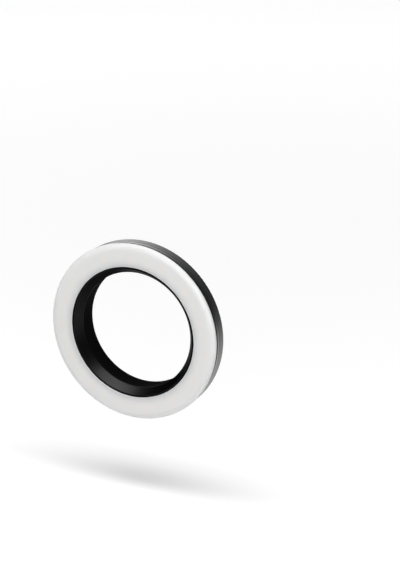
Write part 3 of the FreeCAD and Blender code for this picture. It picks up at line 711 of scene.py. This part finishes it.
def make_keys(cap, ink):
    """Four push buttons, each with a dished top and its mark."""
    stroke = 0.26
    strokes = {
        "power": lambda: [make_strip(0.72, 0.72 + stroke, 55, 290), make_bar(1.05, stroke, (0, 0.6), 90)],
        "brighter": lambda: [make_plus(1.9, stroke)],
        "dimmer": lambda: [make_bar(1.9, stroke)],
        "colour": lambda: [make_strip(0.78, 0.78 + stroke, 0, 360), make_strip(0.01, 0.77, 90, 180)],
    }
    blank = turned(
        "key_blank",
        [
            (0.02, BUTTON_DISH),
            (1.62, BUTTON_DISH),
            (1.75, BUTTON_TOP),
            (2.2, BUTTON_TOP, 0.18),
            (2.2, 9.87),
            (2.7, 9.87, 0.06),
            (2.7, 9.27, 0.06),
            (1.2, 9.27),
            (1.2, 8.7, 0.1),
            (0.02, 8.7),
        ],
        steps=64,
        solid=True,
    )
    for key, clock in BUTTON_CLOCKS.items():
        piece = copy_to(blank, f"{key}_key", *on_ring(BUTTON_RING, clock))
        finish_piece(piece, cap, f"{key}_key")
        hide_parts(f"{key}_button")
        depth = BUTTON_DISH + 0.015
        set_flat(f"{key}_mark", strokes[key](), clock, depth, ink, f"{key}_key")
    bpy.data.objects.remove(blank)


def mark_battery(ink):
    """Battery outline printed on the cover beside the four charge lamps."""
    line = 0.16
    strokes = [make_frame(2.3, 1.25, line), make_bar(0.55, line, (1.26, 0), 90)]
    depth = COVER_BACK + 0.005
    set_flat("battery_mark", strokes, BATTERY_CLOCK, depth, ink, "light_head")


def plate_contacts(gold):
    """Twelve gold contacts on each side of the socket's tongue."""
    count, pitch = 12, 0.5
    for side, out in (("front", -0.005), ("back", 0.005)):
        pad = make_bar(3.1, 0.24, (-(count - 1) / 2 * pitch, 0), 90)
        row = pad.modifiers.new("row", "ARRAY")
        row.count = count
        row.use_relative_offset = False
        row.use_constant_offset = True
        row.constant_offset_displace = (pitch * MM, 0, 0)
        bpy.ops.object.modifier_apply(modifier="row")
        depth = TONGUE_FACES[side] + out
        set_flat(f"{side}_contacts", [pad], SOCKET_CLOCK, depth, gold, "light_head")


def make_lamps(material):
    """Four clear light pipes with domed ends."""
    dome = [(0.02, COVER_BACK), (0.3, 10.97), (0.5, 10.88), (0.6, 10.75)]
    foot = [(0.6, 7.5), (0.5, 7.45), (0.02, 7.45)]
    blank = turned("lamp_blank", dome + foot, steps=32, solid=True)
    pipes = []
    for number in range(LAMP_COUNT):
        x, z = on_ring(BUTTON_RING, FIRST_LAMP_CLOCK - LAMP_PITCH * number)
        pipes.append(copy_to(blank, f"lamp_{number}", x, z))
    bpy.data.objects.remove(blank)
    piece = joined(pipes, "lamp_windows")
    finish_piece(piece, material, "light_head")
    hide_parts("light_pipes")


# Scene


def place_camera():
    """Camera with the photograph's perspective, fitted to the circles of the light."""
    camera = bpy.data.objects.new("camera", bpy.data.cameras.new("camera"))
    bpy.context.scene.collection.objects.link(camera)
    camera.data.sensor_fit = "VERTICAL"
    camera.data.sensor_height = 36
    camera.data.lens = 128.2
    camera.data.clip_start = 0.01
    right, up, back = (0.8980, 0.4400, 0), (-0.1421, 0.2900, 0.9464), (0.4164, -0.8499, 0.3229)
    camera.matrix_world = Matrix((right, up, back)).transposed().to_4x4()
    camera.location = (0.4678, -0.8870, 0.3644)
    bpy.context.scene.camera = camera


def ray(finish, kind):
    """1 for rays of this kind, and 0 for others."""
    return finish.add("ShaderNodeLightPath", output=f"Is {kind} Ray")


def distance(finish, x, y):
    """Metres over the floor from this place on it."""
    across = finish.x - x
    along = finish.y - y
    return finish.math("SQRT", across * across + along * along)


def light_world(low, high):
    """Even light of the low strength, with a soft window that adds the high one behind the left."""
    window, reach, softness = Vector((-0.41, 0.88, 0.24)).normalized(), 0.6, 4
    world = bpy.data.worlds.new("studio")
    bpy.context.scene.world = world
    world.use_nodes = True
    nodes = Nodes(world.node_tree)
    direction = nodes.add("ShaderNodeTexCoord", output="Generated")
    toward = {0: direction, 1: window}
    nearness = nodes.add("ShaderNodeVectorMath", toward, output="Value", operation="DOT_PRODUCT")
    edge = nodes.add("ShaderNodeMapRange", {"Value": nearness, "From Min": reach})
    background = world.node_tree.nodes["Background"]
    nodes.feed(background.inputs["Color"], (1, 1, 1))
    nodes.feed(background.inputs["Strength"], edge**softness * high + low)


def add_softbox(name, location, size, power, aimed=True):
    """Rectangular softbox that faces the object, or straight down where it isn't aimed."""
    lamp = bpy.data.objects.new(name, bpy.data.lights.new(name, "AREA"))
    bpy.context.scene.collection.objects.link(lamp)
    lamp.data.shape = "RECTANGLE"
    lamp.data.size, lamp.data.size_y = size
    lamp.data.energy = power
    lamp.location = location
    if aimed:
        lamp.rotation_euler = (-Vector(location)).to_track_quat("-Z", "Y").to_euler()


def lay_floor(height):
    """White floor that glows for the camera, so that little but the shadow shows on it.

    In gloss it glows brighter instead in a patch behind the object on the right, like a pale reflector
    there: a glow seen only in reflections, which paints a brighter reflection into the housing's side."""
    bpy.ops.mesh.primitive_plane_add(size=12, location=(0, 0, height))
    floor = bpy.context.object
    floor.name = "studio_floor"
    finish = Finish("floor white")
    off_object = finish.band(distance(finish, 0, 0), 0.1, 1.3)
    # Painted reflection: in gloss rays only, the floor glows brighter in a patch behind the object on the
    # right, where no lamp or card is.
    off_gloss_patch = finish.band(distance(finish, 0.18, 0.19), 0.08, 0.31)
    wash = 0.48 + off_object * 0.29
    gloss_patch_glow = 0.2 + (1 - off_gloss_patch) * 1.35
    seen = finish.math("MAXIMUM", ray(finish, "Camera"), ray(finish, "Transmission")) * wash
    mirrored = ray(finish, "Glossy") * gloss_patch_glow
    strength = finish.math("MAXIMUM", seen, mirrored)
    glow = finish.add("ShaderNodeEmission", {"Strength": strength})
    matte = finish.add("ShaderNodeBsdfDiffuse", {"Color": (0.6, 0.6, 0.6)})
    both = finish.add("ShaderNodeAddShader", {0: glow, 1: matte})
    finish.feed(finish.tree.nodes["Material Output"].inputs["Surface"], both)
    floor.data.materials.append(finish.material)
    bpy.ops.object.select_all(action="DESELECT")


bpy.context.scene.view_settings.view_transform = "Standard"
place_camera()
light_world(0.075, 3.25)
add_softbox("key", (0.12, -0.25, 1.25), (1.45, 0.35), 14.9, aimed=False)
add_softbox("front", (0.42, -1.42, 0.05), (1.1, 1.1), 19.8)
lay_floor(-0.09)

materials = {
    "opal": opal_acrylic(),
    "black_anodised": black_anodised(),
    "matte_black": velvet_black(),
    "black_plastic": moulded("satin black moulding", (0.014, 0.014, 0.0145), 0.36, 0.25, 0.006),
    "button_black": moulded("button black", (0.03, 0.03, 0.031), 0.32, 0.4, 0.004),
    "white_reflector": moulded("matte white moulding", (0.82, 0.82, 0.81), 0.6, 0.5, 0.01),
    "white_board": circuit_board("white board", (0.78, 0.78, 0.76), (0.82, 0.81, 0.79)),
    "warm_phosphor": phosphor_chip("warm chip", (0.85, 0.38, 0.1), FIRST_WARM_CLOCK),
    "cool_phosphor": phosphor_chip("cool chip", (0.85, 0.7, 0.12), FIRST_WARM_CLOCK + CHIP_PITCH),
    "thermal_grey": soft_sheet("gap pad", (0.4, 0.4, 0.42), 0.6),
    "copper": metal("copper lead", (0.85, 0.42, 0.24), 0.3),
    "black_steel": metal("black oxide steel", (0.055, 0.055, 0.058), 0.3),
    "spring_steel": metal("spring wire", (0.62, 0.62, 0.63), 0.25),
    "glide_white": waxy_washer(),
    "cell_foil": foil_pouch(),
    "foam": soft_sheet("black foam", (0.05, 0.05, 0.05), 0.45),
    "flex_amber": amber_flex(),
    "board_green": circuit_board("green board", (0.02, 0.14, 0.06), (0.05, 0.26, 0.1)),
    "chip_black": moulded("chip package", (0.035, 0.035, 0.036), 0.5, 0.2, 0.006),
    "switch_steel": metal("tinned steel", (0.7, 0.7, 0.7), 0.3),
    "clear_pipe": clear_acrylic(),
    "nickel": metal("nickel shell", (0.72, 0.7, 0.66), 0.22),
}

for row in frame["record"]["subparts"]:
    node = frame["nodes"][row["node"]]
    node.data.materials.clear()
    node.data.materials.append(materials[row["material_slot"]])

make_face(materials["opal"])
make_cone(materials["matte_black"])
make_mount(baffled_black())
ink = printed_mark()
make_keys(materials["button_black"], ink)
mark_battery(ink)
plate_contacts(metal("gold plating", (0.95, 0.66, 0.28), 0.2))
make_lamps(materials["clear_pipe"])
